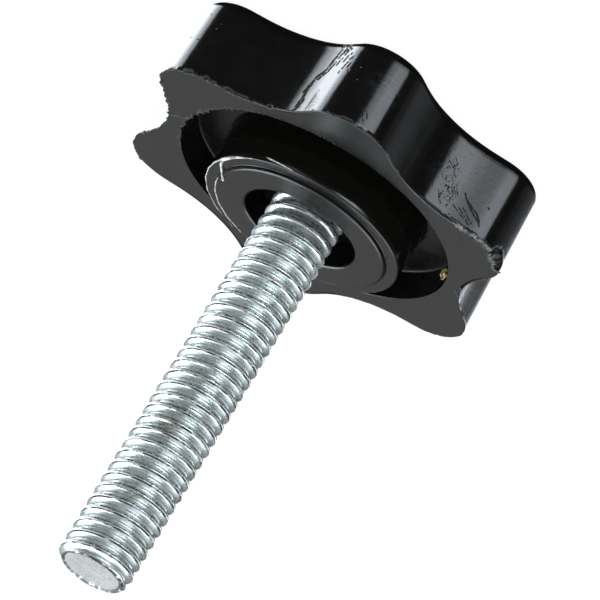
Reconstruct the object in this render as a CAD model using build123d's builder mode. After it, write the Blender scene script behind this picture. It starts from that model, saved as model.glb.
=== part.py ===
# Star knob: a six-lobed moulded plastic body with a zinc-plated screw stud moulded into its hub.
# Millimetres. The knob stands on its flat head, so the stud points up along +Z and the origin
# is the centre of the head's flat face.
from build123d import *
from math import atan2, cos, pi, radians, sin, tan
import os

# Outline of the body, seen along the stud
lobe_count = 6
tip_radius = 21.8        # axis to the tip of a lobe, at the rim
notch_depth = 4.55       # how far a notch's floor lies inside the tips
notch_arc = 11.0         # radius of the concave arc in a notch
flank_length = 1.5       # straight stretch between a lobe's arc and a notch's

# Body
rim_height = 9.5         # head face to the flat rim on the stud side
wall_draft = 2.6         # degrees, so that the head is a little smaller than the rim
head_edge = 1.1          # rounding between the wall and the head face

# Ring-shaped hollow between the rim and the hub
hollow_radius = 15.3     # at its mouth
hollow_depth = 3.4       # below the rim
core_draft = 1.5         # degrees on the hollow's two walls
hollow_corner = 0.3      # rounding in the floor's corners

# Hub, which stands proud of the rim
hub_radius = 11.0        # of the ledge
ledge_rise = 2.65        # ledge above the rim
land_radius = 9.7        # of the clamping face inside the ledge
land_rise = 0.45         # clamping face above the ledge
hub_edge = 0.15          # small roundings on the hub's edges

# Round recess where the stud comes out
recess_radius = 6.2
recess_depth = 3.0
recess_edge = 0.35

# Stud: 5/16-18 UNC, with a hexagon head that keys it in the plastic
stud_diameter = 7.94     # over the thread
shank_diameter = 7.02    # under the thread, where the steel wasn't rolled
shank_show = 0.4         # bare shank above the floor of the recess
runout_rise = 0.3        # from the bare shank out to the full thread
stud_reach = 43.0        # beyond the clamping face
tip_face_diameter = 6.9
tip_chamfer_rise = 0.65
head_flats = 12.7        # across flats
head_height = 5.2
head_cover = 3.0         # plastic between the bolt's head and the head face
fit_gap = 0.0            # the plastic is moulded straight onto the steel

# Places that follow from the sizes
half_step = pi / lobe_count
notch_center = tip_radius - notch_depth + notch_arc
tip_to_center_squared = tip_radius**2 + notch_center**2 - 2 * tip_radius * notch_center * cos(half_step)
lobe_arc = (tip_to_center_squared - notch_arc**2 - flank_length**2) / (
    2 * (tip_radius + notch_arc - notch_center * cos(half_step))
)
lobe_center = tip_radius - lobe_arc
towards_notch = atan2(notch_center * sin(half_step), notch_center * cos(half_step) - lobe_center)
flank_turn = towards_notch - atan2(flank_length, lobe_arc + notch_arc)
ledge_height = rim_height + ledge_rise
land_height = ledge_height + land_rise
hollow_floor = rim_height - hollow_depth
recess_floor = land_height - recess_depth
head_top = head_cover + head_height
shank_top = recess_floor + shank_show
stud_tip = land_height + stud_reach
stud_radius = stud_diameter / 2
shank_radius = shank_diameter / 2


def polar(radius, angle):
    return Vector(radius * cos(angle), radius * sin(angle))


def lobe_points(angle):
    """The lobe's arc at this angle, from flank to flank, then the floor of the next notch."""
    middle = polar(lobe_center, angle)
    start = middle + polar(lobe_arc, angle - flank_turn)
    tip = polar(tip_radius, angle)
    end = middle + polar(lobe_arc, angle + flank_turn)
    notch = polar(tip_radius - notch_depth, angle + half_step)
    return start, tip, end, notch


def flank_foot(end, angle, side):
    """Where the straight flank that leaves a lobe's arc at its end meets the notch's arc."""
    return end + polar(flank_length, angle + side * (flank_turn + pi / 2))


with BuildPart() as knob_body:
    # Lobed block, drafted from the rim down to the head
    with BuildSketch(Plane.XY.offset(rim_height)):
        with BuildLine():
            for number in range(lobe_count):
                angle, next_angle = 2 * half_step * number, 2 * half_step * (number + 1)
                start, tip, end, notch = lobe_points(angle)
                next_start = lobe_points(next_angle)[0]
                into_notch = flank_foot(end, angle, 1)
                out_of_notch = flank_foot(next_start, next_angle, -1)
                ThreePointArc(start, tip, end)
                Line(end, into_notch)
                ThreePointArc(into_notch, notch, out_of_notch)
                Line(out_of_notch, next_start)
        make_face()
    extrude(amount=-rim_height, taper=wall_draft)
    fillet(knob_body.edges().group_by(Axis.Z)[0], radius=head_edge)

    # Ring-shaped hollow, which opens at the rim
    wall_lean = hollow_depth * tan(radians(core_draft))
    with BuildSketch(Plane.XZ) as hollow_section:
        with BuildLine():
            Polyline(
                (hub_radius, rim_height),
                (hub_radius + wall_lean, hollow_floor),
                (hollow_radius - wall_lean, hollow_floor),
                (hollow_radius, rim_height),
                close=True,
            )
        make_face()
        fillet(hollow_section.vertices().group_by(Axis.Y)[0], radius=hollow_corner)
    revolve(axis=Axis.Z, mode=Mode.SUBTRACT)

    # Part of the hub that stands above the rim: a ledge, then the clamping face inside it
    with BuildSketch(Plane.XZ) as hub_section:
        with BuildLine():
            Polyline(
                (0, hollow_floor),
                (hub_radius, hollow_floor),
                (hub_radius, ledge_height),
                (land_radius, ledge_height),
                (land_radius, land_height),
                (0, land_height),
                close=True,
            )
        make_face()
        step_corners = hub_section.vertices().filter_by_position(Axis.Y, ledge_height, land_height)
        fillet(step_corners.filter_by_position(Axis.X, land_radius, hub_radius), radius=hub_edge)
    revolve(axis=Axis.Z)

    # Round recess where the stud comes out, with a rounded mouth
    with BuildSketch(Plane.XY.offset(recess_floor)):
        Circle(recess_radius)
    extrude(amount=recess_depth, mode=Mode.SUBTRACT)
    mouth = knob_body.edges().filter_by(GeomType.CIRCLE).group_by(Axis.Z)[-1].sort_by(SortBy.RADIUS)[0]
    fillet(mouth, radius=recess_edge)

    # Pocket that the plastic forms round the bolt's head and shank
    with BuildSketch(Plane.XY.offset(head_cover)):
        RegularPolygon(radius=head_flats / 2 + fit_gap, side_count=6, major_radius=False)
    extrude(amount=head_height, mode=Mode.SUBTRACT)
    with BuildSketch(Plane.XY.offset(head_top)):
        Circle(shank_radius + fit_gap)
    extrude(amount=recess_floor - head_top, mode=Mode.SUBTRACT)

with BuildPart() as threaded_stud:
    with BuildSketch(Plane.XY.offset(head_cover)):
        RegularPolygon(radius=head_flats / 2, side_count=6, major_radius=False)
    extrude(amount=head_height)
    with BuildSketch(Plane.XZ):
        with BuildLine():
            Polyline(
                (0, head_top),
                (shank_radius, head_top),
                (shank_radius, shank_top),
                (stud_radius, shank_top + runout_rise),
                (stud_radius, stud_tip - tip_chamfer_rise),
                (tip_face_diameter / 2, stud_tip),
                (0, stud_tip),
                close=True,
            )
        make_face()
    revolve(axis=Axis.Z)

os.makedirs("parts", exist_ok=True)
for name, piece in (("knob_body", knob_body), ("threaded_stud", threaded_stud)):
    piece.part.label = name
    export_step(piece.part, f"parts/{name}.step")
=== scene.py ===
import bmesh
import bpy
from math import atan2, cos, degrees, hypot, pi, radians, sin, tan
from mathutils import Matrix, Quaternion, Vector, noise


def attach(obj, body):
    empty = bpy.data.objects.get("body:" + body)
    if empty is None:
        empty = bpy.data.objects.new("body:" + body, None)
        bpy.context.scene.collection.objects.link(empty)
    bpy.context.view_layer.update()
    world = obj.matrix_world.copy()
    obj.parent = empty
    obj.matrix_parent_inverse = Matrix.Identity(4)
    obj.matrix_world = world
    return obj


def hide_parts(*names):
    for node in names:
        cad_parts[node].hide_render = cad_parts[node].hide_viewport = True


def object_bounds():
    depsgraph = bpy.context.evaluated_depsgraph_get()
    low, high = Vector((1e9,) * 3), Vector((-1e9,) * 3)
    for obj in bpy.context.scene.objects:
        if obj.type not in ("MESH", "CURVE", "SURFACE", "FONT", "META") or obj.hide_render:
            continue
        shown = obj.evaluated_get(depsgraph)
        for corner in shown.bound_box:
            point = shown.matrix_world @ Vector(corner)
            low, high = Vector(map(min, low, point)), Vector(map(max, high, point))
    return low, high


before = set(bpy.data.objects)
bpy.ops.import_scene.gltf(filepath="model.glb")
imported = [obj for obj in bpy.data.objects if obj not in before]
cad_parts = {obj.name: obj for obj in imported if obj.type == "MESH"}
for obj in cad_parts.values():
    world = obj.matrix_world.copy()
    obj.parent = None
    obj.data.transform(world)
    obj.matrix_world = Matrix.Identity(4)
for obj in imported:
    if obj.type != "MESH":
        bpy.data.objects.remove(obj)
cadLow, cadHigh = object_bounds()
scene = bpy.context.scene
mm = 0.001      # shapes are drawn in millimetres and scaled at the end


def smoothStep(low, high, value):
    t = min(1.0, max(0.0, (value - low) / (high - low)))
    return t * t * (3 - 2 * t)


def blend(a, b, t):
    return a + (b - a) * t


def polar(radius, angle, height=0.0):
    return Vector((radius * cos(angle), radius * sin(angle), height))


# Camera, on the photograph's side of the knob and rolled as the photograph was taken
cameraSetup = {
    "target": (3.202, -1.970, 19.173),      # mm
    "distance": 683.67,
    "azimuth": 58.400,
    "elevation": 23.203,
    "roll": -148.886,
    "lens": 409.217,
}


def makeCamera(setup):
    data = bpy.data.cameras.new("camera")
    camera = bpy.data.objects.new("camera", data)
    scene.collection.objects.link(camera)
    azimuth, elevation = radians(setup["azimuth"]), radians(setup["elevation"])
    back = polar(cos(elevation), azimuth, sin(elevation))
    camera.location = (Vector(setup["target"]) + back * setup["distance"]) * mm
    level = (-back).to_track_quat("-Z", "Y")
    camera.rotation_euler = (level @ Quaternion((0, 0, 1), radians(setup["roll"]))).to_euler()
    data.lens = setup["lens"]
    data.clip_start, data.clip_end = 0.05, 20.0
    scene.camera = camera


makeCamera(cameraSetup)
print("camera placed")


# The bolt's shank and hexagon head, hidden in the plastic, which closes on them
bolt = {
    "shankRadius": 3.51,
    "headTop": 8.2,
    "headBottom": 3.0,
    "headFlats": 12.7,
}


# Where a vertex lies when it is moved out to the sides of the bolt's head
def hexagonPlace(vert, height):
    angle = atan2(vert.co.y, vert.co.x)
    fold = (angle % (pi / 3)) - pi / 6
    return polar(bolt["headFlats"] / 2 / cos(fold), angle, height)


# Knob body: the lobed block, its ring-shaped hollow and its stepped hub
knob = {
    "lobes": 6,
    "tipRadius": 21.8,
    "notchDepth": 4.55,
    "notchArc": 11.0,
    "flankLength": 1.5,
    "rimHeight": 9.5,
    "wallDraft": 2.6,
    "headEdge": 1.1,
    "rimEdge": 0.09,
    "wornEdge": 0.15,
    "hollowRadius": 15.3,
    "hollowDepth": 3.4,
    "coreDraft": 1.5,
    "hollowCorner": 0.3,
    "hubRadius": 11.0,
    "ledgeRise": 2.65,
    "landRadius": 9.7,
    "landRise": 0.45,
    "landEdge": 0.30,
    "hubEdge": 0.15,
    "recessRadius": 6.2,
    "recessDepth": 3.0,
    "recessEdge": 0.35,
    "sharpAngle": 32,
    "hubSteps": 240,
    "stepsPerLobe": 168,
    # shares of a half lobe's steps that lie on the lobe's arc and on the flank
    "arcShare": 0.43,
    "flankShare": 0.12,
    # where the rim's edge is more worn: from and to which angle, and how softly that ends
    "wornStretch": (-8, 33, 6),
    # radii of the rings on the head face, and how far inside its edge the next ones lie
    "headRings": (5, 10),
    "headInsets": (2.5, 0.8),
    # heights of the rings on the wall, plain ones and then those that carry the edge's flaws
    "wallHeights": (1.5, 2, 2.6, 3.3, 4, 4.7, 5.4, 6.1, 6.8, 7.4, 7.9),
    "edgeHeights": (8.3, 8.5, 8.7, 8.85, 9.0, 9.1, 9.2),
    # rings on the rim, as shares of the way from its outer edge to the hollow
    "rimShares": (0.09, 0.15, 0.24, 0.35, 0.5, 0.65, 0.8, 0.9, 0.95, 0.975),
    # rings on the hollow's wall: how far below the rim, and how much of the mouth's wander they keep
    "mouthRings": ((0.04, 1.0), (0.12, 0.9), (0.25, 0.5), (0.5, 0.2), (0.9, 0), (1.6, 0), (2.3, 0), (2.9, 0)),
    # radii of the rings on the clamping face, and heights of those in the recess
    "landRings": (9.3, 8.9, 8.4, 7.9, 7.4, 6.9),
    "recessRings": (12.0, 11.4, 10.6, 9.9),
}

# Flaws of the moulding along its edges. Angles in degrees, then sizes in mm.
flaws = {
    # start, end, how far the flash stands up, how far the edge wanders in and out
    "rimFlash": (
        (86, 97, 0.20, 0.16), (96, 109, 0.26, 0.16), (107, 117, 0.42, 0.28), (117, 126, 0.12, 0.10),
        (126, 152, 0.12, 0.36), (152, 186, 0.08, 0.14), (49, 68, 0.22, 0.12), (68, 86, 0.05, 0.04),
        (20, 49, 0.03, 0.03), (-3, 20, 0.05, 0.09), (322, 331, 0.03, 0.02), (262, 322, 0.02, 0.05),
    ),
    # start, end, how far the mouth of the hollow wanders
    "mouthWander": ((96, 112, 0.10), (108, 134, 0.46), (132, 152, 0.32), (150, 166, 0.14), (60, 98, 0.05)),
    # bites out of the rim's edge: where, half width, how deep. A small nub has a depth below 0.
    "bites": (
        (327.0, 0.7, 0.30), (294.1, 0.5, 0.16), (183.5, 0.9, -0.26), (353.6, 0.8, -0.45), (150.5, 0.8, 0.22),
        (88.5, 0.6, 0.10), (14.0, 0.7, 0.16), (10.2, 0.6, 0.20), (129.0, 0.5, 0.16), (134.5, 0.6, 0.14),
    ),
    # the corner of the lobe on +X is broken away: middle, half width, how far in, how far down
    "brokenCorner": ((-1.5, 6.8, 0.90, 1.15), (9.5, 7.0, 0.34, 0.36)),
    # flash this high counts as fully torn
    "fullTear": 0.2,
    # how lumpy the break is: lumps a mm, how far in and out, how far down, and how far in it fades
    "breakGrain": 2.3,
    "breakOut": 0.24,
    "breakDown": 0.20,
    "breakReach": 2.2,
    # hairs of flash left on the hub, then white strands along the ledge's and the land's edges that are
    # painted highlights: angle, radius, height, then the hair's own radius
    "hairsAndHighlightLines": (
        ((102, 10.98, 12.15, 0.03), (107, 11.0, 12.18, 0.07), (112, 11.02, 12.20, 0.12),
         (118, 11.02, 12.22, 0.16), (124, 11.0, 12.26, 0.19), (127, 11.0, 12.26, 0.16),
         (129, 10.98, 12.2, 0.09)),
        ((126, 10.9, 12.26, 0.18), (129, 10.7, 12.28, 0.15), (132, 10.45, 12.28, 0.12),
         (135, 10.15, 12.27, 0.11), (137, 9.85, 12.40, 0.09), (138.6, 9.5, 12.70, 0.10),
         (140.5, 9.2, 12.74, 0.12), (142.5, 9.1, 12.72, 0.09), (143.5, 9.3, 12.66, 0.05)),
        # from here on: painted highlights, white strands along the ledge's edge, the hub's side and the
        # land's edge
        ((128, 10.97, 12.14, 0.08), (136, 10.99, 12.14, 0.065), (146, 10.99, 12.14, 0.055),
         (158, 10.99, 12.13, 0.05), (172, 10.99, 12.12, 0.045), (188, 10.99, 12.12, 0.04),
         (205, 10.99, 12.11, 0.02)),
        ((94, 10.99, 11.66, 0.02), (92, 11.0, 11.72, 0.07), (89, 11.0, 11.81, 0.08), (86, 11.0, 11.89, 0.07),
         (81, 11.0, 12.0, 0.06), (77, 10.99, 12.10, 0.02)),
        ((144, 9.68, 12.57, 0.02), (152, 9.68, 12.58, 0.05), (164, 9.68, 12.58, 0.045),
         (178, 9.68, 12.58, 0.045), (192, 9.68, 12.58, 0.04), (208, 9.68, 12.57, 0.02)),
    ),
    # a crumb of dirt on the hollow's wall: angle, radius, height, size
    "crumb": (333.6, 14.9, 9.1, 0.62),
}


# Place and outward direction of a station on the rim's outline; number 0 is the tip of the lobe on +X.
# Half a lobe is an arc, a straight flank and half of the notch's arc.
def outlineStation(number):
    k = knob
    halfStep = pi / k["lobes"]
    tip, notchArc, flank = k["tipRadius"], k["notchArc"], k["flankLength"]
    notchCentre = tip - k["notchDepth"] + notchArc
    lobeArc = (
        tip**2 + notchCentre**2 - 2 * tip * notchCentre * cos(halfStep) - notchArc**2 - flank**2
    ) / (2 * (tip + notchArc - notchCentre * cos(halfStep)))
    lobeCentre = tip - lobeArc
    turn = atan2(notchCentre * sin(halfStep), notchCentre * cos(halfStep) - lobeCentre)
    turn -= atan2(flank, lobeArc + notchArc)
    half = k["stepsPerLobe"] // 2
    onLobe, onFlank = round(half * k["arcShare"]), round(half * k["flankShare"])
    sector, step = divmod(number, k["stepsPerLobe"])
    middle, side = 2 * halfStep * sector, 1
    if step > half:
        middle, side, step = middle + 2 * halfStep, -1, 2 * half - step
    if step <= onLobe + onFlank:
        way = middle + side * turn * min(1.0, step / onLobe)
        along = flank * max(0, step - onLobe) / onFlank
        place = polar(lobeCentre, middle) + polar(lobeArc, way) + polar(along, way + side * pi / 2)
        return place, polar(1, way)
    rest = half - onLobe - onFlank
    way = middle + side * (halfStep + (turn - halfStep) * (half - step) / rest)
    return polar(notchCentre, middle + side * halfStep) - polar(notchArc, way), polar(1, way)


outline = [outlineStation(number) for number in range(knob["lobes"] * knob["stepsPerLobe"])]


def angleOf(place):
    return degrees(atan2(place.y, place.x))


# Degrees between two directions
def apart(angle, other):
    return abs((angle - other + 180) % 360 - 180)


# 1 inside a stretch of angles and 0 outside it, with a soft change at both ends
def softStretch(angle, start, end, fade=1.5):
    middle, half = (start + end) / 2, (end - start) / 2
    return 1 - smoothStep(half - fade, half + fade, apart(angle, middle))


# A wandering value from -1 to 1 that has coarse and fine steps along the edge
def ragged(angle, seed, grain):
    at = Vector((cos(radians(angle)) * grain, sin(radians(angle)) * grain, seed))
    return 0.65 * noise.noise(at) * 1.6 + 0.45 * noise.noise(at * 2.7)


def rimFlaw(angle):
    up = wander = 0.0
    for start, end, height, way in flaws["rimFlash"]:
        share = softStretch(angle, start, end)
        up, wander = max(up, share * height), max(wander, share * way)
    rise = up * (0.35 + 0.65 * abs(ragged(angle, 3.1, 26)))
    sway = wander * ragged(angle, 7.7, 30)
    for middle, half, depth in flaws["bites"]:
        sway -= depth * (1 - smoothStep(0.3 * half, half, apart(angle, middle)))
    return rise, sway, up


def mouthFlaw(angle):
    way = max(softStretch(angle, start, end) * size for start, end, size in flaws["mouthWander"])
    return way * ragged(angle, 12.4, 34), way


# How far in and how far down the rim's edge is broken away
def cornerLoss(angle):
    inward = down = 0.0
    for middle, half, far, deep in flaws["brokenCorner"]:
        share = 1 - smoothStep(0.6 * half, half, apart(angle, middle))
        share *= 0.9 + 0.25 * ragged(angle, 5.5, 18)
        inward, down = max(inward, share * far), max(down, share * deep)
    return inward, down


def edgesOf(made):
    return [item for item in made["geom"] if isinstance(item, bmesh.types.BMEdge) and item.is_boundary]


def vertsOf(made):
    return [item for item in made["geom"] if isinstance(item, bmesh.types.BMVert)]


# Grows one more ring from an open loop of edges and puts each new vertex where place(station) says
def growRing(mesh, edges, station, place):
    made = bmesh.ops.extrude_edge_only(mesh, edges=edges)
    for vert in vertsOf(made):
        vert.co = place(vert[station])
    return edgesOf(made)


# A closed, tapering strand along points given as angle, radius, height and thickness
def addStrand(mesh, points, sides=7):
    spots = [(polar(radius, radians(angle), height), thick) for angle, radius, height, thick in points]
    edges, last = None, None
    for n, (spot, thick) in enumerate(spots):
        way = spots[min(n + 1, len(spots) - 1)][0] - spots[max(n - 1, 0)][0]
        turn = way.to_track_quat("Z", "Y")
        ring = [spot + turn @ polar(thick, 2 * pi * side / sides) for side in range(sides)]
        if edges is None:
            first = bmesh.ops.create_circle(mesh, segments=sides, radius=1.0)["verts"]
            for vert, place in zip(first, ring):
                vert.co = place
            edges, last = list({e for v in first for e in v.link_edges}), first
            continue
        made = bmesh.ops.extrude_edge_only(mesh, edges=edges)
        fresh = vertsOf(made)
        for vert in fresh:
            below = [e.other_vert(vert) for e in vert.link_edges if e.other_vert(vert) in last][0]
            vert.co = ring[last.index(below)]
        last = [next(v for v in fresh if (v.co - place).length < 1e-6) for place in ring]
        edges = [e for e in made["geom"] if isinstance(e, bmesh.types.BMEdge)
                 and all(v in fresh for v in e.verts)]
    bmesh.ops.holes_fill(mesh, edges=[e for e in mesh.edges if e.is_boundary], sides=sides)


# A lumpy crumb, sunk a little into what carries it
def addCrumb(mesh, angle, radius, height, size):
    made = bmesh.ops.create_icosphere(mesh, subdivisions=3, radius=size)["verts"]
    for vert in made:
        vert.co *= 1 + 0.55 * noise.noise(vert.co * 3.1)
        vert.co.x *= 0.55
        vert.co = polar(radius, radians(angle), height) + Quaternion((0, 0, 1), radians(angle)) @ vert.co


# Points of a small corner rounding in the radius-height plane
def cornerPoints(centre, radius, start, end, count):
    angles = [radians(blend(start, end, n / (count - 1))) for n in range(count)]
    return [(centre[0] + radius * cos(a), centre[1] + radius * sin(a)) for a in angles]


# Section of the hub as radii and heights, from the hollow's floor over the ledge into the recess
def hubSection():
    k = knob
    rim, hub, clamp, mouth = k["rimHeight"], k["hubRadius"], k["landRadius"], k["recessRadius"]
    lean = tan(radians(k["coreDraft"]))
    floor, ledge, foot = rim - k["hollowDepth"], rim + k["ledgeRise"], hub + k["hollowDepth"] * lean
    land = ledge + k["landRise"]
    recess, shank = land - k["recessDepth"], bolt["shankRadius"]
    corner, hubEdge, landEdge, mouthEdge = k["hollowCorner"], k["hubEdge"], k["landEdge"], k["recessEdge"]
    section = [(foot + corner + 0.5, floor)]
    section += cornerPoints((foot + corner, floor + corner), corner, 270, 180, 5)
    section.append((foot - 1.5 * lean, floor + 1.5))
    section += [(hub, height) for height in (rim, rim + 1.2, ledge - 0.6)]
    section += cornerPoints((hub - hubEdge, ledge - hubEdge), hubEdge, 0, 90, 5)
    section += [(blend(hub, clamp, share), ledge) for share in (0.4, 0.7, 0.88)]
    section += [(clamp + out, ledge + up) for out, up in ((0.10, 0), (0.03, 0.03), (0, 0.10))]
    section += cornerPoints((clamp - landEdge, land - landEdge), landEdge, 0, 90, 8)
    section += [(radius, land) for radius in k["landRings"]]
    section += cornerPoints((mouth + mouthEdge, land - mouthEdge), mouthEdge, 90, 180, 7)
    section += [(mouth, height) for height in k["recessRings"]]
    section += [(radius, recess) for radius in (mouth, 5.4, 4.5, shank)]
    section.append((shank, bolt["headTop"]))
    return section


# The rings of the lobed block, from the head face to the hollow's floor, each as a function of a station
def blockRings(angles, rimFlaws, losses):
    k = knob
    mouthFlaws = [mouthFlaw(angle)[0] for angle in angles]
    rim, hollow, lean = k["rimHeight"], k["hollowRadius"], tan(radians(k["wallDraft"]))

    def wall(inset, height):
        return lambda n: outline[n][0] - outline[n][1] * inset + Vector((0, 0, height))

    def ring(radius, height, share=0.0):
        return lambda n: polar(radius + mouthFlaws[n] * share, radians(angles[n]), height)

    # The edge between wall and rim, with a share of its flash and bites, and with the broken corner
    def edge(inset, height, share, chips=1.0):
        def place(n):
            rise, sway = rimFlaws[n][:2]
            inward, down = losses[n]
            near = 1 - smoothStep(0.0, flaws["breakReach"], inset)
            lost = near * min(1.0, max(0.0, (height - rim + down) / down)) if down > 0.02 else 0.0
            chip = outline[n][0] * flaws["breakGrain"] + Vector((0, 0, height * flaws["breakGrain"]))
            rough = chips * lost * min(1.0, inward / 0.3)
            off = inset - sway * share + lost * inward + flaws["breakOut"] * rough * noise.noise(chip)
            drop = flaws["breakDown"] * rough * abs(noise.noise(chip + Vector((9, 4, 2))))
            spot = outline[n][0] - outline[n][1] * off
            x, y = [min(high / mm, max(low / mm, part)) for low, high, part in zip(cadLow, cadHigh, spot.xy)]
            return Vector((x, y, height + rise * share - drop))

        return place

    # The small rounding between wall and rim
    radii = [k["rimEdge"] + k["wornEdge"] * softStretch(angle, *k["wornStretch"]) for angle in angles]

    def rounded(turn, inward=0.0, down=0.0):
        share = 0.5 if inward or down else 1.0

        def place(n):
            inset = radii[n] * (1 - cos(turn)) + inward
            return edge(inset, rim - radii[n] * (1 - sin(turn)) - down, share)(n)

        return place

    # On the rim, a share of the way from its outer edge to the hollow's mouth
    def onRim(share):
        outer, inner = edge(0.0, rim, 0.0, 0.0), ring(hollow, rim, 1.0 if share > 0.95 else 0.0)
        return lambda n: outer(n).lerp(inner(n), share)

    draft, headEdge = radians(k["wallDraft"]), k["headEdge"]
    edgeInset = rim * lean + headEdge * (1 - sin(draft)) / cos(draft)
    rings = [ring(radius, 0) for radius in k["headRings"]]
    rings += [wall(edgeInset + inset, 0) for inset in k["headInsets"]]
    rounding = cornerPoints((-edgeInset, headEdge), headEdge, -90, -k["wallDraft"], 9)
    rings += [wall(-out, height) for out, height in rounding]
    rings += [wall((rim - height) * lean, height) for height in k["wallHeights"]]
    rings += [edge((rim - height) * lean, height, 0.0) for height in k["edgeHeights"]]
    rings.append(rounded(0, 0.002, 0.04))
    rings += [rounded(radians(turn)) for turn in (0, 30, 60, 90)]
    rings += [rounded(pi / 2, 0.05), edge(0.34, rim, 0.08, 0.3)]
    rings += [onRim(share) for share in k["rimShares"]]
    rings.append(ring(hollow + 0.03, rim - 0.005, 1.0))

    # The hollow's outer wall and the rounding at its floor
    floor, corner, coreLean = rim - k["hollowDepth"], k["hollowCorner"], tan(radians(k["coreDraft"]))
    rings += [ring(hollow - drop * coreLean, rim - drop, share) for drop, share in k["mouthRings"]]
    middle = hollow - k["hollowDepth"] * coreLean - corner
    rings += [ring(*point) for point in cornerPoints((middle, floor + corner), corner, 0, -90, 5)]
    rings.append(ring(middle - 0.6, floor))
    return rings


# How rubbed and torn each place is, for the material, which also paints a highlight along these edges
def paintWearAndEdgeHighlight(mesh, station, rimFlaws, losses):
    wearAndEdgeHighlight = mesh.verts.layers.float["wearAndEdgeHighlight"]
    rim, hollow, fullTear = knob["rimHeight"], knob["hollowRadius"], flaws["fullTear"]
    for vert in mesh.verts:
        radius = hypot(vert.co.x, vert.co.y)
        if radius > hollow + 0.3 and vert.co.z > rim - 1.0:
            n = vert[station]
            inward, down = losses[n]
            inset = (outline[n][0] - vert.co).dot(outline[n][1])
            torn = min(1.0, rimFlaws[n][2] / fullTear + inward * 0.8)
            low = rim - max(0.2, down)
            nearEdge = 1 - smoothStep(0.05, 0.25, inset - inward)
            vert[wearAndEdgeHighlight] = torn * nearEdge * smoothStep(low - 0.1, low + 0.1, vert.co.z)
        elif radius > hollow - 0.4 and vert.co.z > rim - 0.4:
            vert[wearAndEdgeHighlight] = min(1.0, mouthFlaw(angleOf(vert.co))[1] / fullTear)


def buildKnob():
    k = knob
    mesh = bmesh.new()
    station = mesh.verts.layers.int.new("station")
    mesh.verts.layers.float.new("wearAndEdgeHighlight")
    angles = [angleOf(spot[0]) for spot in outline]
    rimFlaws = [rimFlaw(angle) for angle in angles]
    losses = [cornerLoss(angle) for angle in angles]

    # Hub: its section is turned about the axis
    section = hubSection()
    verts = [mesh.verts.new((radius, 0, height)) for radius, height in section]
    chain = [mesh.edges.new(pair) for pair in zip(verts, verts[1:])]
    bmesh.ops.spin(
        mesh, geom=verts + chain, cent=(0, 0, 0), axis=(0, 0, 1), angle=2 * pi, steps=k["hubSteps"],
        use_merge=True,
    )
    hubLoops = [e for e in mesh.edges if e.is_boundary]
    footLoop = [e for e in hubLoops if hypot(*e.verts[0].co.xy) > k["hubRadius"]]
    boreLoop = [e for e in hubLoops if hypot(*e.verts[0].co.xy) < k["recessRadius"]]

    # Lobed block: rings grown from a circle in the head face and joined to the foot of the hub
    total = len(outline)
    for vert in bmesh.ops.create_circle(mesh, segments=total, radius=1.0)["verts"]:
        vert[station] = round(atan2(vert.co.y, vert.co.x) / (2 * pi) * total) % total
        vert.co = polar(1.5, radians(angles[vert[station]]))
    edges = [e for e in mesh.edges if e.is_wire]
    pole = growRing(mesh, edges, station, lambda n: polar(0.5, radians(angles[n])))
    bmesh.ops.pointmerge(mesh, verts=list({v for e in pole for v in e.verts}), merge_co=(0, 0, 0))
    for place in blockRings(angles, rimFlaws, losses):
        edges = growRing(mesh, edges, station, place)
    bmesh.ops.bridge_loops(mesh, edges=edges + footLoop)

    # Pocket that the bolt's head fills
    edges = boreLoop
    for height in (bolt["headTop"], bolt["headBottom"]):
        made = bmesh.ops.extrude_edge_only(mesh, edges=edges)
        for vert in vertsOf(made):
            vert.co = hexagonPlace(vert, height)
        edges = edgesOf(made)
    made = bmesh.ops.extrude_edge_only(mesh, edges=edges)
    bmesh.ops.pointmerge(mesh, verts=vertsOf(made), merge_co=(0, 0, bolt["headBottom"]))
    bmesh.ops.remove_doubles(mesh, verts=mesh.verts[:], dist=1e-5)
    paintWearAndEdgeHighlight(mesh, station, rimFlaws, losses)

    # The hollow and the recess are rougher, and their darker black and weaker gloss are painted shade
    rim, pocketFloor = k["rimHeight"], bolt["headBottom"]
    shadedTop, land = rim - 0.03, rim + k["ledgeRise"] + k["landRise"]
    for face in mesh.faces:
        spot = face.calc_center_median()
        radius = hypot(spot.x, spot.y)
        hollow = k["hubRadius"] - 0.05 < radius < k["hollowRadius"] + 0.02 and pocketFloor < spot.z < shadedTop
        recess = radius < k["recessRadius"] + 0.12 and pocketFloor < spot.z < land - 0.12
        if hollow or recess:
            face.material_index = 3

    # Hairs of flash, white strands that are painted highlights, and the crumb, each with a material of its
    # own
    hairsAndHighlightLines = [(hair,) for hair in flaws["hairsAndHighlightLines"]]
    for slot, add, items in ((1, addStrand, hairsAndHighlightLines), (2, addCrumb, [flaws["crumb"]])):
        before = set(mesh.faces)
        for item in items:
            add(mesh, *item)
        for face in mesh.faces:
            if face not in before:
                face.material_index = slot
    return mesh


def addObject(mesh, name):
    data = bpy.data.meshes.new(name)
    mesh.to_mesh(data)
    mesh.free()
    made = bpy.data.objects.new(name, data)
    scene.collection.objects.link(made)
    return made


def finishPiece(mesh, name, sharpAngle):
    bmesh.ops.recalc_face_normals(mesh, faces=mesh.faces[:])
    bmesh.ops.scale(mesh, vec=(mm, mm, mm), verts=mesh.verts[:])
    openEdges = sum(e.is_boundary for e in mesh.edges)
    piece = addObject(mesh, name)
    piece.data.shade_smooth()
    piece.data.set_sharp_from_angle(angle=radians(sharpAngle))
    triangles = sum(len(p.vertices) - 2 for p in piece.data.polygons)
    print(name, "built:", triangles, "triangles,", openEdges, "open edges")
    return piece


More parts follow.
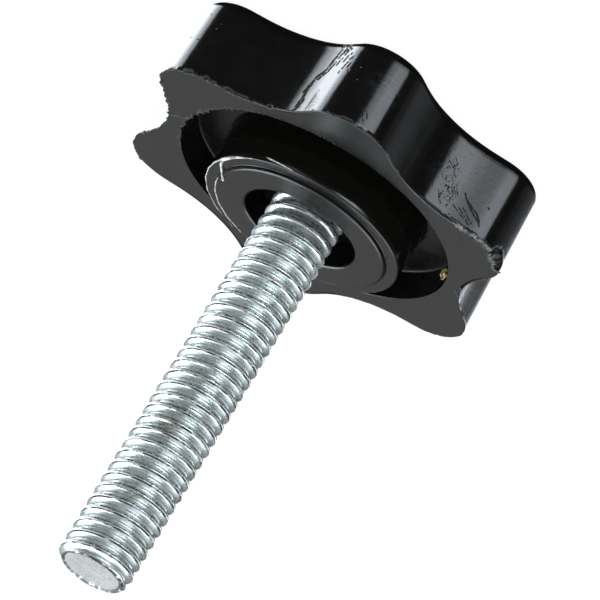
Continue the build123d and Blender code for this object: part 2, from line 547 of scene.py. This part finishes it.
# Stud: a rolled 5/16-18 thread, its chamfered tip and the bolt's head inside the plastic
stud = {
    "pitch": 1.411,
    "crestRadius": 3.96,
    "rootRadius": 3.28,
    "crestWidth": 0.40,
    "rootWidth": 0.20,
    "phase": 0.40,      # share of a pitch
    "foot": 10.0,
    "runout": 0.3,
    "tip": 55.6,
    "tipRadius": 3.45,
    "tipRise": 0.65,
    "sharpAngle": 40,
    # share of a flank that is rounded at each end, and how much the crest is crowned
    "flankSoft": 0.16,
    "crown": 0.03,
    # rings of the end face: radius, how far below the tip, how rough
    "endRings": ((3.30, 0.0, 0.10), (3.16, 0.03, 0.14), (3.05, 0.14, 0.05), (2.6, 0.15, 0), (1.2, 0.15, 0)),
    "steps": 160,
    "pointsPerPitch": 14,
}


# Radius of the thread at a share of its pitch: rounded crest at 0, flanks, rounded root at a half
def threadRadius(share):
    s = stud
    away = abs((share + 0.5) % 1 - 0.5) * s["pitch"]
    crest, root = s["crestWidth"] / 2, s["rootWidth"] / 2
    t = (away - crest) / (s["pitch"] / 2 - crest - root)
    flank = min(1.0, max(0.0, t))
    soft = s["flankSoft"]
    if flank < soft:
        flank = flank * flank / (2 * soft)
    elif flank > 1 - soft:
        flank = 1 - soft - (1 - flank) ** 2 / (2 * soft)
    else:
        flank -= soft / 2
    flank /= 1 - soft
    crown = s["crown"] * min(1.0, away / crest) ** 2
    return blend(s["crestRadius"] - crown, s["rootRadius"], flank)


def buildStud():
    s = stud
    mesh = bmesh.new()
    pitch = s["pitch"]
    low = s["foot"] - 1.5 * pitch
    heights = [low + n * pitch / s["pointsPerPitch"] for n in range(s["pointsPerPitch"] + 1)]
    verts = [mesh.verts.new((threadRadius(h / pitch - s["phase"]), 0, h)) for h in heights]
    chain = [mesh.edges.new(pair) for pair in zip(verts, verts[1:])]
    bmesh.ops.spin(
        mesh, geom=verts + chain, cent=(0, 0, 0), axis=(0, 0, 1), dvec=(0, 0, pitch / s["steps"]),
        angle=2 * pi, steps=s["steps"], use_merge=False,
    )
    oneTurn = mesh.verts[:] + mesh.edges[:] + mesh.faces[:]
    for turn in range(1, round((s["tip"] - low) / pitch) + 2):
        made = bmesh.ops.duplicate(mesh, geom=oneTurn)
        bmesh.ops.translate(mesh, verts=vertsOf(made), vec=(0, 0, turn * pitch))
    bmesh.ops.remove_doubles(mesh, verts=mesh.verts[:], dist=0.002)
    for height, side in ((s["foot"], True), (s["tip"], False)):
        bmesh.ops.bisect_plane(
            mesh, geom=mesh.verts[:] + mesh.edges[:] + mesh.faces[:], plane_co=(0, 0, height),
            plane_no=(0, 0, 1), clear_inner=side, clear_outer=not side,
        )
    shank = bolt["shankRadius"]
    for vert in mesh.verts:
        radius = hypot(vert.co.x, vert.co.y)
        cone = s["tipRadius"] + (s["tip"] - vert.co.z) * (s["crestRadius"] - s["tipRadius"]) / s["tipRise"]
        start = shank + (vert.co.z - s["foot"]) * (s["crestRadius"] - shank) / s["runout"]
        limit = min(cone, start)
        if radius > limit:
            vert.co.x *= limit / radius
            vert.co.y *= limit / radius

    def boundaryAt(height):
        return [e for e in mesh.edges if e.is_boundary and all(abs(v.co.z - height) < 1e-3 for v in e.verts)]

    # End: a burred lip round a shallow dish
    edges = boundaryAt(s["tip"])
    for radius, depth, burr in s["endRings"]:
        made = bmesh.ops.extrude_edge_only(mesh, edges=edges)
        for vert in vertsOf(made):
            angle = atan2(vert.co.y, vert.co.x)
            bite = burr * abs(noise.noise(polar(radius * 1.9, angle, 3.0)))
            vert.co = polar(radius - bite, angle, s["tip"] - depth - bite)
        edges = edgesOf(made)
    bmesh.ops.pointmerge(mesh, verts=vertsOf(made), merge_co=(0, 0, s["tip"] - depth))

    # Shank and head, inside the plastic
    edges = boundaryAt(s["foot"])
    for height, isHead in (
        (s["foot"] - 0.02, False), (bolt["headTop"], False), (bolt["headTop"], True),
        (bolt["headBottom"], True),
    ):
        made = bmesh.ops.extrude_edge_only(mesh, edges=edges)
        for vert in vertsOf(made):
            angle = atan2(vert.co.y, vert.co.x)
            vert.co = hexagonPlace(vert, height) if isHead else polar(shank, angle, height)
        edges = edgesOf(made)
    bmesh.ops.edgeloop_fill(mesh, edges=edges)
    return mesh


knobBody = finishPiece(buildKnob(), "knobBody", knob["sharpAngle"])
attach(knobBody, "root")
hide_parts("knob_body")

threadedStud = finishPiece(buildStud(), "threadedStud", stud["sharpAngle"])
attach(threadedStud, "root")
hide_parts("threaded_stud")


# Links a socket to another node's output, or sets its value
def feed(tree, socket, value):
    if isinstance(value, bpy.types.NodeSocket):
        tree.links.new(value, socket)
    else:
        socket.default_value = value


def addNode(tree, kind, settings=None, inputs=None):
    node = tree.nodes.new("ShaderNode" + kind)
    for name, value in (settings or {}).items():
        setattr(node, name, value)
    for name, value in (inputs or {}).items():
        feed(tree, node.inputs[name], value)
    return node


def newMaterial(name):
    material = bpy.data.materials.new(name)
    material.use_nodes = True
    tree = material.node_tree
    tree.nodes.clear()
    return material, tree


def maths(tree, operation, *values):
    return addNode(tree, "Math", {"operation": operation}, dict(enumerate(values))).outputs[0]


def vectorMaths(tree, operation, *values):
    node = addNode(tree, "VectorMath", {"operation": operation}, dict(enumerate(values)))
    return node.outputs["Value" if operation in ("LENGTH", "DOT_PRODUCT", "DISTANCE") else "Vector"]


# Share of a full turn about Z, from 0 to 1
def turnShare(tree, split):
    angle = maths(tree, "ARCTAN2", split.outputs["Y"], split.outputs["X"])
    return maths(tree, "FRACT", maths(tree, "MULTIPLY_ADD", angle, 1 / (2 * pi), 1.0))


def ramp(tree, value, low, high, start=0.0, end=1.0):
    node = addNode(tree, "MapRange", {"interpolation_type": "SMOOTHSTEP"}, {
        "Value": value, "From Min": low, "From Max": high, "To Min": start, "To Max": end,
    })
    return node.outputs[0]


def noiseOf(tree, vector, scale, detail=2.0, rough=0.5):
    node = addNode(tree, "TexNoise", inputs={
        "Vector": vector, "Scale": scale, "Detail": detail, "Roughness": rough,
    })
    return node.outputs["Fac"]


def mixColour(tree, factor, first, second):
    return addNode(tree, "Mix", {"data_type": "RGBA"}, {0: factor, 6: first, 7: second}).outputs[2]


def mixValue(tree, factor, first, second):
    return addNode(tree, "Mix", {"data_type": "FLOAT"}, {0: factor, 2: first, 3: second}).outputs[0]


def greatest(tree, values):
    result = values[0]
    for value in values[1:]:
        result = maths(tree, "MAXIMUM", result, value)
    return result


def finishMaterial(tree, kind, inputs):
    addNode(tree, "OutputMaterial", inputs={"Surface": addNode(tree, kind, inputs=inputs).outputs[0]})


# Object coordinates in millimetres, the same split into X, Y and Z, and the distance from the axis
def placeOf(tree):
    coords = addNode(tree, "TexCoord")
    place = vectorMaths(tree, "MULTIPLY", coords.outputs["Object"], (1000, 1000, 1000))
    split = addNode(tree, "SeparateXYZ", inputs={0: place})
    radius = vectorMaths(tree, "LENGTH", vectorMaths(tree, "MULTIPLY", place, (1, 1, 0)))
    return place, split, radius


# How much a place lies on the stretch between two points, from 0 to 1
def makeScratch():
    tree = bpy.data.node_groups.new("scratch", "ShaderNodeTree")
    for label, kind in (("Place", "Vector"), ("From", "Vector"), ("To", "Vector"), ("Width", "Float")):
        tree.interface.new_socket(label, in_out="INPUT", socket_type="NodeSocket" + kind)
    tree.interface.new_socket("Mask", in_out="OUTPUT", socket_type="NodeSocketFloat")
    given = tree.nodes.new("NodeGroupInput")
    place, start, end, width = [given.outputs[name] for name in ("Place", "From", "To", "Width")]
    away = vectorMaths(tree, "SUBTRACT", place, start)
    along = vectorMaths(tree, "SUBTRACT", end, start)
    size = maths(tree, "MAXIMUM", vectorMaths(tree, "DOT_PRODUCT", along, along), 1e-6)
    share = maths(tree, "DIVIDE", vectorMaths(tree, "DOT_PRODUCT", away, along), size)
    share = maths(tree, "MINIMUM", maths(tree, "MAXIMUM", share, 0.0), 1.0)
    nearest = addNode(tree, "VectorMath", {"operation": "SCALE"}, {0: along, "Scale": share}).outputs[0]
    distance = vectorMaths(tree, "DISTANCE", away, nearest)
    core = maths(tree, "MULTIPLY", width, 0.35)
    feed(tree, tree.nodes.new("NodeGroupOutput").inputs["Mask"], ramp(tree, distance, width, core))
    return tree


scratch = makeScratch()


# The strongest of the scratches that run from point to point
def scratchesOf(tree, place, lines, width):
    masks = []
    for line in lines:
        for start, end in zip(line, line[1:] or line):
            node = addNode(tree, "Group", {"node_tree": scratch}, {
                "Place": place, "From": start, "To": end, "Width": width,
            })
            masks.append(node.outputs["Mask"])
    return greatest(tree, masks)


# Marks on the walls, each point an angle in degrees and a height in mm
marks = {
    "cuts": (
        ((16.7, 5.96), (15.7, 6.48), (14.4, 6.93), (13.3, 7.39), (12.0, 7.76), (11.1, 8.02)),
        ((15.7, 6.48), (13.8, 6.91), (12.4, 7.28), (11.1, 7.82), (10.4, 8.3)),
        ((10.9, 6.05), (10.5, 6.12)),
    ),
    "fine": (
        ((17.7, 7.87), (12.5, 8.74)), ((16.4, 7.67), (13.0, 8.58)), ((15.6, 7.48), (12.4, 8.51)),
        ((17.7, 8.92), (13.6, 9.11)), ((21.8, 6.46), (20.4, 7.11)), ((21.3, 6.08), (19.4, 7.0)),
        ((20.2, 6.05), (18.6, 6.89)), ((19.1, 6.04), (18.1, 6.77)), ((25.5, 4.1), (22.6, 4.5)),
        ((24.8, 4.6), (22.0, 5.0)), ((24.4, 3.4), (22.9, 3.9)), ((23.9, 7.4), (22.2, 8.3)),
        ((22.9, 7.9), (21.2, 8.6)), ((118.5, 2.16), (112.7, 3.21)), ((121.0, 5.2), (116.0, 5.6)),
        ((60.5, 7.4), (58.2, 8.9)), ((59.6, 7.2), (57.4, 8.4)),
    ),
    "gouge": ((
        (79.6, 9.4), (78.9, 9.24), (78.8, 8.39), (78.7, 7.54), (79.4, 6.38), (79.0, 5.52), (78.7, 5.01),
        (77.4, 4.3), (77.0, 3.96), (76.8, 3.28), (76.6, 2.34), (76.6, 1.83), (76.3, 1.41), (76.4, 0.73),
    ),),
    "gougeSide": (
        ((79.4, 9.2), (79.2, 8.1)), ((79.8, 6.9), (79.5, 6.0), (78.6, 4.6)),
        ((77.7, 5.2), (76.1, 4.2), (75.6, 3.0)), ((75.6, 2.4), (74.9, 1.2)), ((74.6, 3.3), (74.2, 2.5)),
        ((73.9, 2.0), (73.4, 1.0)), ((74.9, 1.9), (74.1, 1.3)), ((73.0, 2.9), (72.5, 2.2)),
        ((72.2, 4.4), (71.6, 3.4)), ((78.3, 8.9), (78.0, 7.9)), ((75.2, 0.9), (74.6, 0.6)),
    ),
    "pits": (
        ((77.2, 0.68),), ((73.7, 1.64),), ((73.0, 1.26),), ((70.9, 2.37), (71.3, 2.6)), ((69.6, 4.06),),
        ((72.0, 1.9),), ((74.3, 0.9),), ((70.2, 3.3), (70.5, 3.6)), ((71.5, 3.1),),
    ),
    # on the rim, as angle and radius
    "rimLines": (
        ((147.8, 17.66), (145.0, 16.9), (142.9, 16.38), (142.2, 15.75)), ((325.4, 17.35), (328.0, 16.6)),
        ((331.4, 17.35), (332.6, 16.95)),
    ),
    "specks": (((66.7, 3.41),), ((65.8, 4.86),), ((113.2, 3.82),), ((69.7, 2.35),)),
    "ticks": (((23.6, 4.6), (20.6, 7.6)),),
}

# How wide each kind of mark is, in mm
markWidths = {
    "cuts": 0.10, "fine": 0.075, "gouge": 0.26, "gougeSide": 0.20, "pits": 0.20, "rimLines": 0.11,
    "specks": 0.11, "ticks": 1.2,
}

plastic = {
    "black": (0.0056, 0.0056, 0.0049, 1),
    # the darker black of the hollow and the recess is painted shade
    "hollowShadeBlack": (0.0034, 0.0034, 0.0028, 1),
    # lighter, rubbed and whitened plastic on the torn edges, which is also a painted highlight along those
    # edges
    "rubbedAndEdgeHighlight": (0.042, 0.042, 0.038, 1),
    "dust": (0.09, 0.09, 0.08, 1),
    "haze": (0.022, 0.023, 0.027, 1),
    "mark": (0.014, 0.015, 0.015, 1),
    # flash that was bent until it went white, whose colour also paints the highlight strands, and dirt: two
    # colours, the noise's scale, between which of its values they mix, and the roughness
    "whitenedFlashAndHighlight": ((0.30, 0.31, 0.31, 1), (0.80, 0.82, 0.82, 1), 2.4, 0.40, 0.52, 0.45),
    "crumb": ((0.10, 0.075, 0.02, 1), (0.42, 0.34, 0.16, 1), 3.5, 0.42, 0.58, 0.8),
    "index": 1.55,
    # roughness
    "wallRough": 0.03,
    "faceRough": 0.21,
    "hollowRough": 0.20,
    "cutRough": 0.8,
    "rubbedRough": 0.5,
    # haze on the walls: angle, height, how far it spreads
    "hazeSpots": ((18, 5.5, 5.2), (58, 4.6, 2.6)),
    # streaks low on the hollow's wall: radius, angle, height, then where they fade out and are full
    "streaks": (14.9, 128, 8.0, 4.2, 2.4),
    # noise: scale, detail, roughness
    "filmNoise": (0.42, 3, 0.55),
    "blotchNoise": (1.5, 3, 0.6),
    "lineNoise": (1.0, 3, 0.65),
    "grainNoise": (5.2, 2, 0.6),
    "tearNoise": (1.6, 3, 0.7),
    "hazeNoise": (0.9, 4, 0.7),
    "tickNoise": (1.9, 3),
    # how far the marks stray from straight lines, in mm
    "stray": 0.24,
}


# The point on the drafted wall at an angle and a height
def wallPoint(angle, height):
    place, way = min(outline, key=lambda item: apart(angleOf(item[0]), angle))
    inset = (knob["rimHeight"] - height) * tan(radians(knob["wallDraft"]))
    return (*(place - way * inset).xy, height)


def wallLines(name):
    return [[wallPoint(*spot) for spot in line] for line in marks[name]]


def makePlastic():
    material, tree = newMaterial("blackPlastic")
    place, split, radius = placeOf(tree)
    height = split.outputs["Z"]
    rim, ledge, hollow = knob["rimHeight"], knob["rimHeight"] + knob["ledgeRise"], knob["hollowRadius"]

    def product(first, second):
        return maths(tree, "MULTIPLY", first, second)

    def stretched(*factors):
        return vectorMaths(tree, "MULTIPLY", place, factors)

    # The flat faces: the rim, and all that is as high as the ledge
    onRim = ramp(tree, height, rim - 0.05, rim - 0.01)
    onRim = product(onRim, ramp(tree, radius, hollow - 0.5, hollow - 0.3))
    face = maths(tree, "MAXIMUM", onRim, ramp(tree, height, ledge - 0.1, ledge - 0.03))

    # Cloudy film, lines left by the mould, fine grain, and rings on the hub's top
    turned = addNode(tree, "CombineXYZ", inputs={
        "X": product(radius, 3.2), "Y": product(turnShare(tree, split), 38.0), "Z": height,
    }).outputs[0]
    onHub = ramp(tree, height, ledge - 0.25, ledge - 0.05)
    rings = product(noiseOf(tree, turned, *plastic["lineNoise"]), onHub)
    film, blotch, grain = [
        noiseOf(tree, place, *plastic[name]) for name in ("filmNoise", "blotchNoise", "grainNoise")
    ]
    lines = noiseOf(tree, stretched(0.35, 0.35, 6.0), *plastic["lineNoise"])

    # Coordinates that wander, so that the marks do too
    wander = addNode(tree, "TexNoise", inputs={"Vector": place, "Scale": 1.1, "Detail": 2.0}).outputs["Color"]
    stray = plastic["stray"]
    strayed = vectorMaths(tree, "MULTIPLY_ADD", wander, (stray,) * 3, place)
    strayed = vectorMaths(tree, "SUBTRACT", strayed, (stray / 2,) * 3)

    # Marks
    masks = {}
    for name in ("cuts", "fine", "gouge", "gougeSide", "pits"):
        masks[name] = scratchesOf(tree, strayed, wallLines(name), markWidths[name])
    for name in ("specks", "ticks"):
        masks[name] = scratchesOf(tree, place, wallLines(name), markWidths[name])
    rimLines = [[tuple(polar(far, radians(angle), rim)) for angle, far in line] for line in marks["rimLines"]]
    masks["rimLines"] = scratchesOf(tree, place, rimLines, markWidths["rimLines"])
    gouge = maths(tree, "MAXIMUM", masks["gouge"], masks["gougeSide"])
    broken = product(gouge, ramp(tree, noiseOf(tree, place, 3.6, 3), 0.38, 0.46))
    fine = product(masks["fine"], ramp(tree, noiseOf(tree, place, 4.0, 2), 0.40, 0.58))
    tickNoise = noiseOf(tree, stretched(3.4, 3.4, 1.2), *plastic["tickNoise"])
    ticks = product(masks["ticks"], ramp(tree, tickNoise, 0.56, 0.68))
    cut = greatest(tree, (masks["cuts"], masks["rimLines"], broken, fine, ticks, masks["pits"]))
    specks = masks["specks"]
    # Rubbed, torn edges: partly real whitened wear, partly a painted highlight along the rim's edge and the
    # hollow's mouth
    wearAndEdgeHighlight = addNode(tree, "Attribute", {"attribute_name": "wearAndEdgeHighlight"}).outputs["Fac"]
    tear = noiseOf(tree, stretched(1.6, 1.6, 5.0), *plastic["tearNoise"])
    rubbedAndEdgeHighlight = product(wearAndEdgeHighlight, ramp(tree, tear, 0.44, 0.60))

    # A thin, lighter bluish haze on the walls of two of the lobes
    spots = []
    for angle, level, spread in plastic["hazeSpots"]:
        gap = vectorMaths(tree, "DISTANCE", place, wallPoint(angle, level))
        spots.append(ramp(tree, gap, spread, spread * 0.5))
    hazeNoise = noiseOf(tree, stretched(1, 1, 2.6), *plastic["hazeNoise"])
    haze = product(greatest(tree, spots), ramp(tree, hazeNoise, 0.42, 0.64))

    colour = mixColour(tree, ramp(tree, blotch, 0.35, 0.75, 0.0, 0.10), plastic["black"], plastic["mark"])
    for share, name in (
        (haze, "haze"), (product(cut, 0.8), "mark"), (product(rubbedAndEdgeHighlight, 0.75), "rubbedAndEdgeHighlight"),
        (product(specks, 0.8), "dust"),
    ):
        colour = mixColour(tree, share, colour, plastic[name])

    filmRough = ramp(tree, film, 0.38, 0.66, plastic["wallRough"], plastic["wallRough"] + 0.06)
    rough = maths(tree, "MULTIPLY_ADD", lines, 0.05, filmRough)
    faceRough = ramp(tree, grain, 0.3, 0.7, plastic["faceRough"] - 0.05, plastic["faceRough"] + 0.06)
    cutRough, rubbedRough = plastic["cutRough"], plastic["rubbedRough"]
    for share, value in ((face, faceRough), (cut, cutRough), (rubbedAndEdgeHighlight, rubbedRough), (specks, rubbedRough)):
        rough = mixValue(tree, share, rough, value)

    wallBump = maths(tree, "MULTIPLY_ADD", lines, 0.45, product(blotch, 0.6))
    faceBump = maths(tree, "MULTIPLY_ADD", grain, 0.6, product(blotch, 0.7))
    faceBump = maths(tree, "MULTIPLY_ADD", rings, 2.4, faceBump)
    bump = maths(tree, "SUBTRACT", mixValue(tree, face, wallBump, faceBump), product(cut, 2.4))
    bump = maths(tree, "MULTIPLY_ADD", specks, 2.0, bump)
    relief = addNode(tree, "Bump", inputs={"Strength": 0.6, "Distance": 0.00002, "Height": bump})

    finishMaterial(tree, "BsdfPrincipled", {
        "Base Color": colour, "Roughness": rough, "Normal": relief.outputs[0], "IOR": plastic["index"],
    })
    return material


# For the hollow and the recess: rougher, with a darker black and a weaker gloss as painted shade
def makeDullShadedPlastic():
    material, tree = newMaterial("dullShadedPlastic")
    place = placeOf(tree)[0]
    cloud = noiseOf(tree, place, 0.35, 3, 0.5)
    rough = ramp(tree, cloud, 0.35, 0.65, plastic["hollowRough"], plastic["hollowRough"] + 0.10)
    far, angle, level, fade, full = plastic["streaks"]
    streaks = noiseOf(tree, vectorMaths(tree, "MULTIPLY", place, (2.4, 0.7, 1.0)), 1.1, 3, 0.6)
    spot = tuple(polar(far, radians(angle), level))
    near = ramp(tree, vectorMaths(tree, "DISTANCE", place, spot), fade, full)
    relief = addNode(tree, "Bump", inputs={
        "Strength": 0.6, "Distance": 0.00006, "Height": maths(tree, "MULTIPLY", streaks, near),
    })
    # The darker black here is painted shade, mottled by the noise
    colour = mixColour(tree, ramp(tree, cloud, 0.5, 0.8), plastic["hollowShadeBlack"], plastic["black"])
    finishMaterial(tree, "BsdfPrincipled", {
        "Base Color": colour, "Roughness": rough, "Normal": relief.outputs[0], "IOR": plastic["index"],
        "Specular IOR Level": 0.12,
    })
    return material


# A matt material of two colours that a noise mixes
def makeMatt(name):
    material, tree = newMaterial(name)
    first, second, scale, low, high, rough = plastic[name]
    share = ramp(tree, noiseOf(tree, placeOf(tree)[0], scale, 3), low, high)
    colour = mixColour(tree, share, first, second)
    finishMaterial(tree, "BsdfPrincipled", {"Base Color": colour, "Roughness": rough})
    return material


zinc = {
    "bright": (0.785, 0.88, 0.86, 1),
    "dark": (0.030, 0.034, 0.030, 1),
    "stain": (0.33, 0.34, 0.26, 1),
    "clean": (0.93, 0.97, 0.955, 1),
    "rough": 0.28,
    "metal": 0.88,
    # stained stretches: angle in degrees, height, how far the stain spreads
    "stains": ((72, 39.6, 2.2), (66, 37.4, 1.8), (60, 33.0, 1.6), (64, 47.5, 1.6)),
    # painted shade: dark lines along the thread beside the crest: distance from the crest, width, and noise
    # values where they break up
    "dashedShadeLine": (0.17, 0.11, 0.38, 0.56),
    "dottedShadeLine": (-0.10, 0.09, 0.40, 0.50),
    # noise: scale, detail, roughness
    "dashNoise": (1.6, 2, 0.6),
    "dotNoise": (2.6, 3, 0.7),
    "pitNoise": (5.5, 2, 0.6),
    "stainNoise": (1.2, 3, 0.7),
    "cloudNoise": (0.9, 3, 0.6),
    "lipNoise": (1.6, 3, 0.6),
    "reliefNoise": (1.4, 3, 0.6),
}


def makeZinc():
    material, tree = newMaterial("zincSteel")
    place, split, radius = placeOf(tree)
    height = split.outputs["Z"]
    turn = turnShare(tree, split)

    def product(first, second):
        return maths(tree, "MULTIPLY", first, second)

    # Which turn of the thread this is, plus 20 to keep it above 0, and the distance in mm from its crest
    thread = maths(tree, "SUBTRACT", maths(tree, "DIVIDE", height, stud["pitch"]), turn)
    thread = maths(tree, "ADD", maths(tree, "SUBTRACT", thread, stud["phase"]), 20.5)
    fromCrest = product(maths(tree, "SUBTRACT", maths(tree, "FRACT", thread), 0.5), stud["pitch"])
    tip = stud["tip"]
    threaded = ramp(tree, height, tip - 0.4, tip - 0.6)

    # Coordinates that run along the thread, so that the stains, the painted shade lines and the relief do too
    along = addNode(tree, "CombineXYZ", inputs={
        "X": product(turn, 25.0), "Y": product(maths(tree, "FLOOR", thread), 7.3),
        "Z": product(fromCrest, 4.0),
    }).outputs[0]

    def noiseAlong(stretch, name):
        return noiseOf(tree, vectorMaths(tree, "MULTIPLY", along, stretch), *zinc[name])

    # A painted shade line along the thread at a distance from the crest, broken up by noise
    def shadeLine(name, source):
        offset, width, low, high = zinc[name]
        gap = maths(tree, "ABSOLUTE", maths(tree, "SUBTRACT", fromCrest, offset))
        return product(ramp(tree, gap, width, width * 0.4), ramp(tree, source, low, high))

    dashes, dots = noiseAlong((0.45, 1, 0.4), "dashNoise"), noiseOf(tree, along, *zinc["dotNoise"])
    shadeLines = product(maths(tree, "MAXIMUM", shadeLine("dashedShadeLine", dashes), shadeLine("dottedShadeLine", dots)), threaded)
    onCrest = ramp(tree, maths(tree, "ABSOLUTE", fromCrest), 0.40, 0.25)
    pits = product(onCrest, ramp(tree, noiseOf(tree, place, *zinc["pitNoise"]), 0.58, 0.66))
    blots = []
    for angle, level, spread in zinc["stains"]:
        gap = vectorMaths(tree, "DISTANCE", place, tuple(polar(3.9, radians(angle), level)))
        blots.append(ramp(tree, gap, spread, spread * 0.2))
    stain = product(greatest(tree, blots), ramp(tree, noiseOf(tree, along, *zinc["stainNoise"]), 0.42, 0.60))
    cloud = noiseOf(tree, place, *zinc["cloudNoise"])

    # The end face is clean, and its lip is dark in places
    endFace = product(ramp(tree, height, tip - 0.25, tip - 0.18), ramp(tree, radius, 3.12, 3.0))
    lip = product(ramp(tree, height, tip - 0.24, tip - 0.14), ramp(tree, radius, 2.98, 3.06))
    lip = product(lip, ramp(tree, noiseOf(tree, place, *zinc["lipNoise"]), 0.32, 0.50))
    # Dark: the painted shade lines, pits on the crests and the lip
    dark = greatest(tree, (product(shadeLines, 0.95), product(pits, 0.5), product(lip, 0.9)))
    colour = mixColour(tree, ramp(tree, cloud, 0.35, 0.65), zinc["bright"], zinc["clean"])
    for share, name in ((endFace, "clean"), (product(stain, 0.75), "stain"), (dark, "dark")):
        colour = mixColour(tree, share, colour, zinc[name])

    rough = maths(tree, "MULTIPLY_ADD", cloud, 0.16, zinc["rough"] - 0.08)
    rough = maths(tree, "MULTIPLY_ADD", dark, 0.2, rough)
    bump = maths(tree, "ADD", noiseAlong((0.5, 1, 1.6), "reliefNoise"), product(dark, -1.2))
    relief = addNode(tree, "Bump", inputs={"Strength": 0.7, "Distance": 0.00004, "Height": bump})
    finishMaterial(tree, "BsdfPrincipled", {
        "Base Color": colour, "Roughness": rough, "Metallic": zinc["metal"], "Normal": relief.outputs[0],
    })
    return material


for material in (makePlastic(), makeMatt("whitenedFlashAndHighlight"), makeMatt("crumb"), makeDullShadedPlastic()):
    knobBody.data.materials.append(material)
threadedStud.data.materials.append(makeZinc())
print("materials made")


# Stage: a white floor, and the room that the gloss mirrors
stage = {
    "floorSize": 6.0,
    "floorColour": (0.08, 0.08, 0.08, 1),
    "floorGlow": 0.94,
    # light on matt surfaces from straight below, the horizon and straight above
    "softLight": (0.06, 0.35, 2.0),
    "tint": (0.93, 0.99, 1.06),
    # azimuth in degrees and brightness that a mirror ray meets on its way down
    "lowRoom": (
        (0, 0.03), (8, 0.06), (10, 0.6), (12, 3.0), (18, 3.5), (36, 3.7), (42, 2.9), (51, 2.4), (54, 1.9),
        (57, 0.8), (62, 0.12), (70, 0.045), (122, 0.045), (142, 0.07), (149, 0.10), (152, 1.6), (156, 4.0),
        (162, 4.2), (170, 6.8), (178, 8.0), (190, 8.0), (200, 4.0), (225, 1.7), (252, 1.1), (262, 0.40),
        (290, 0.27), (320, 0.20), (328, 0.11), (334, 0.16), (341, 0.05), (352, 0.015), (360, 0.03),
    ),
    # less steeply down
    "levelRoom": (
        (0, 0.3), (12, 2.2), (20, 4.8), (45, 4.8), (58, 2.4), (70, 0.9), (130, 0.9), (150, 2.4), (165, 5.2),
        (190, 5.2), (205, 4.2), (252, 3.6), (270, 2.3), (300, 1.7), (345, 0.9), (360, 0.3),
    ),
    # on its way up to the room's far side
    "midRoom": (
        (0, 0.02), (60, 0.02), (140, 0.03), (152, 0.10), (190, 0.18), (215, 0.25), (225, 0.35), (231, 0.33),
        (245, 0.33), (252, 0.14), (300, 0.10), (315, 0.02), (360, 0.02),
    ),
    # and nearly straight up
    "topRoom": (
        (0, 1.0), (25, 0.5), (95, 0.5), (120, 2.2), (140, 5.0), (180, 6.6), (205, 5.0), (225, 1.5),
        (250, 1.5), (290, 4.2), (320, 2.8), (360, 1.0),
    ),
    # one brightness all round: the belt at the horizon, and straight below
    "beltRoom": (0.025, 0.025, 0.025, 1),
    "underRoom": (0.03, 0.03, 0.03, 1),
    # how high a mirror ray points where one part of the room gives way to the next
    "toLevel": (-0.445, -0.40),
    "toBelt": (-0.27, -0.15),
    "toMid": (0.06, 0.24),
    "toTop": (0.50, 0.64),
    "toUnder": (-0.525, -0.575),
}


def makeFloor():
    mesh = bmesh.new()
    bmesh.ops.create_grid(mesh, x_segments=1, y_segments=1, size=stage["floorSize"] / 2)
    floor = addObject(mesh, "floor")
    material, tree = newMaterial("whiteFloor")
    path = addNode(tree, "LightPath")
    matte = addNode(tree, "BsdfDiffuse", inputs={"Color": stage["floorColour"]})
    glow = addNode(tree, "Emission", inputs={"Color": (1, 1, 1, 1), "Strength": stage["floorGlow"]})
    both = addNode(tree, "AddShader", inputs={0: matte.outputs[0], 1: glow.outputs[0]})
    finishMaterial(tree, "MixShader", {
        0: path.outputs["Is Camera Ray"], 1: matte.outputs[0], 2: both.outputs[0],
    })
    floor.data.materials.append(material)
    floor.visible_glossy = False


# Brightness by azimuth
def rampOf(tree, stops, factor):
    node = addNode(tree, "ValToRGB", inputs={"Fac": factor})
    elements = node.color_ramp.elements
    node.color_ramp.interpolation = "LINEAR"
    while len(elements) < len(stops):
        elements.new(0.5)
    for element, (place, value) in zip(elements, stops):
        element.position = place / 360
        element.color = (value, value, value, 1)
    return node.outputs["Color"]


def makeRoom():
    world = bpy.data.worlds.new("room")
    scene.world = world
    world.use_nodes = True
    world.cycles.sampling_method = "NONE"
    tree = world.node_tree
    tree.nodes.clear()
    path = addNode(tree, "LightPath")
    where = addNode(tree, "TexCoord")
    split = addNode(tree, "SeparateXYZ", inputs={0: where.outputs["Generated"]})
    share = turnShare(tree, split)

    # Goes over from one brightness to another between two heights of the ray
    def goOver(low, high, start, end):
        return mixColour(tree, ramp(tree, split.outputs["Z"], start, end), low, high)

    # What the gloss mirrors
    names = ("lowRoom", "levelRoom", "midRoom", "topRoom")
    low, level, mid, top = [rampOf(tree, stage[name], share) for name in names]
    low, level, top = [vectorMaths(tree, "MULTIPLY", room, stage["tint"]) for room in (low, level, top)]
    seen = goOver(low, level, *stage["toLevel"])
    belt, under = stage["beltRoom"], stage["underRoom"]
    for part, name in ((belt, "toBelt"), (mid, "toMid"), (top, "toTop"), (under, "toUnder")):
        seen = goOver(seen, part, *stage[name])

    # What lights matt surfaces, and what the camera sees
    below, beside, above = [(value, value, value, 1) for value in stage["softLight"]]
    soft = goOver(goOver(below, beside, -0.8, 0.0), above, 0.0, 0.9)
    mirrored, light, white = [
        addNode(tree, "Background", inputs={"Color": colour}).outputs[0]
        for colour in (seen, soft, (1, 1, 1, 1))
    ]
    for shareOf, shader in (("Is Glossy Ray", mirrored), ("Is Camera Ray", white)):
        light = addNode(tree, "MixShader", inputs={0: path.outputs[shareOf], 1: light, 2: shader}).outputs[0]
    addNode(tree, "OutputWorld", inputs={"Surface": light})


makeFloor()
makeRoom()
scene.view_settings.view_transform = "Standard"
print("stage and light made")
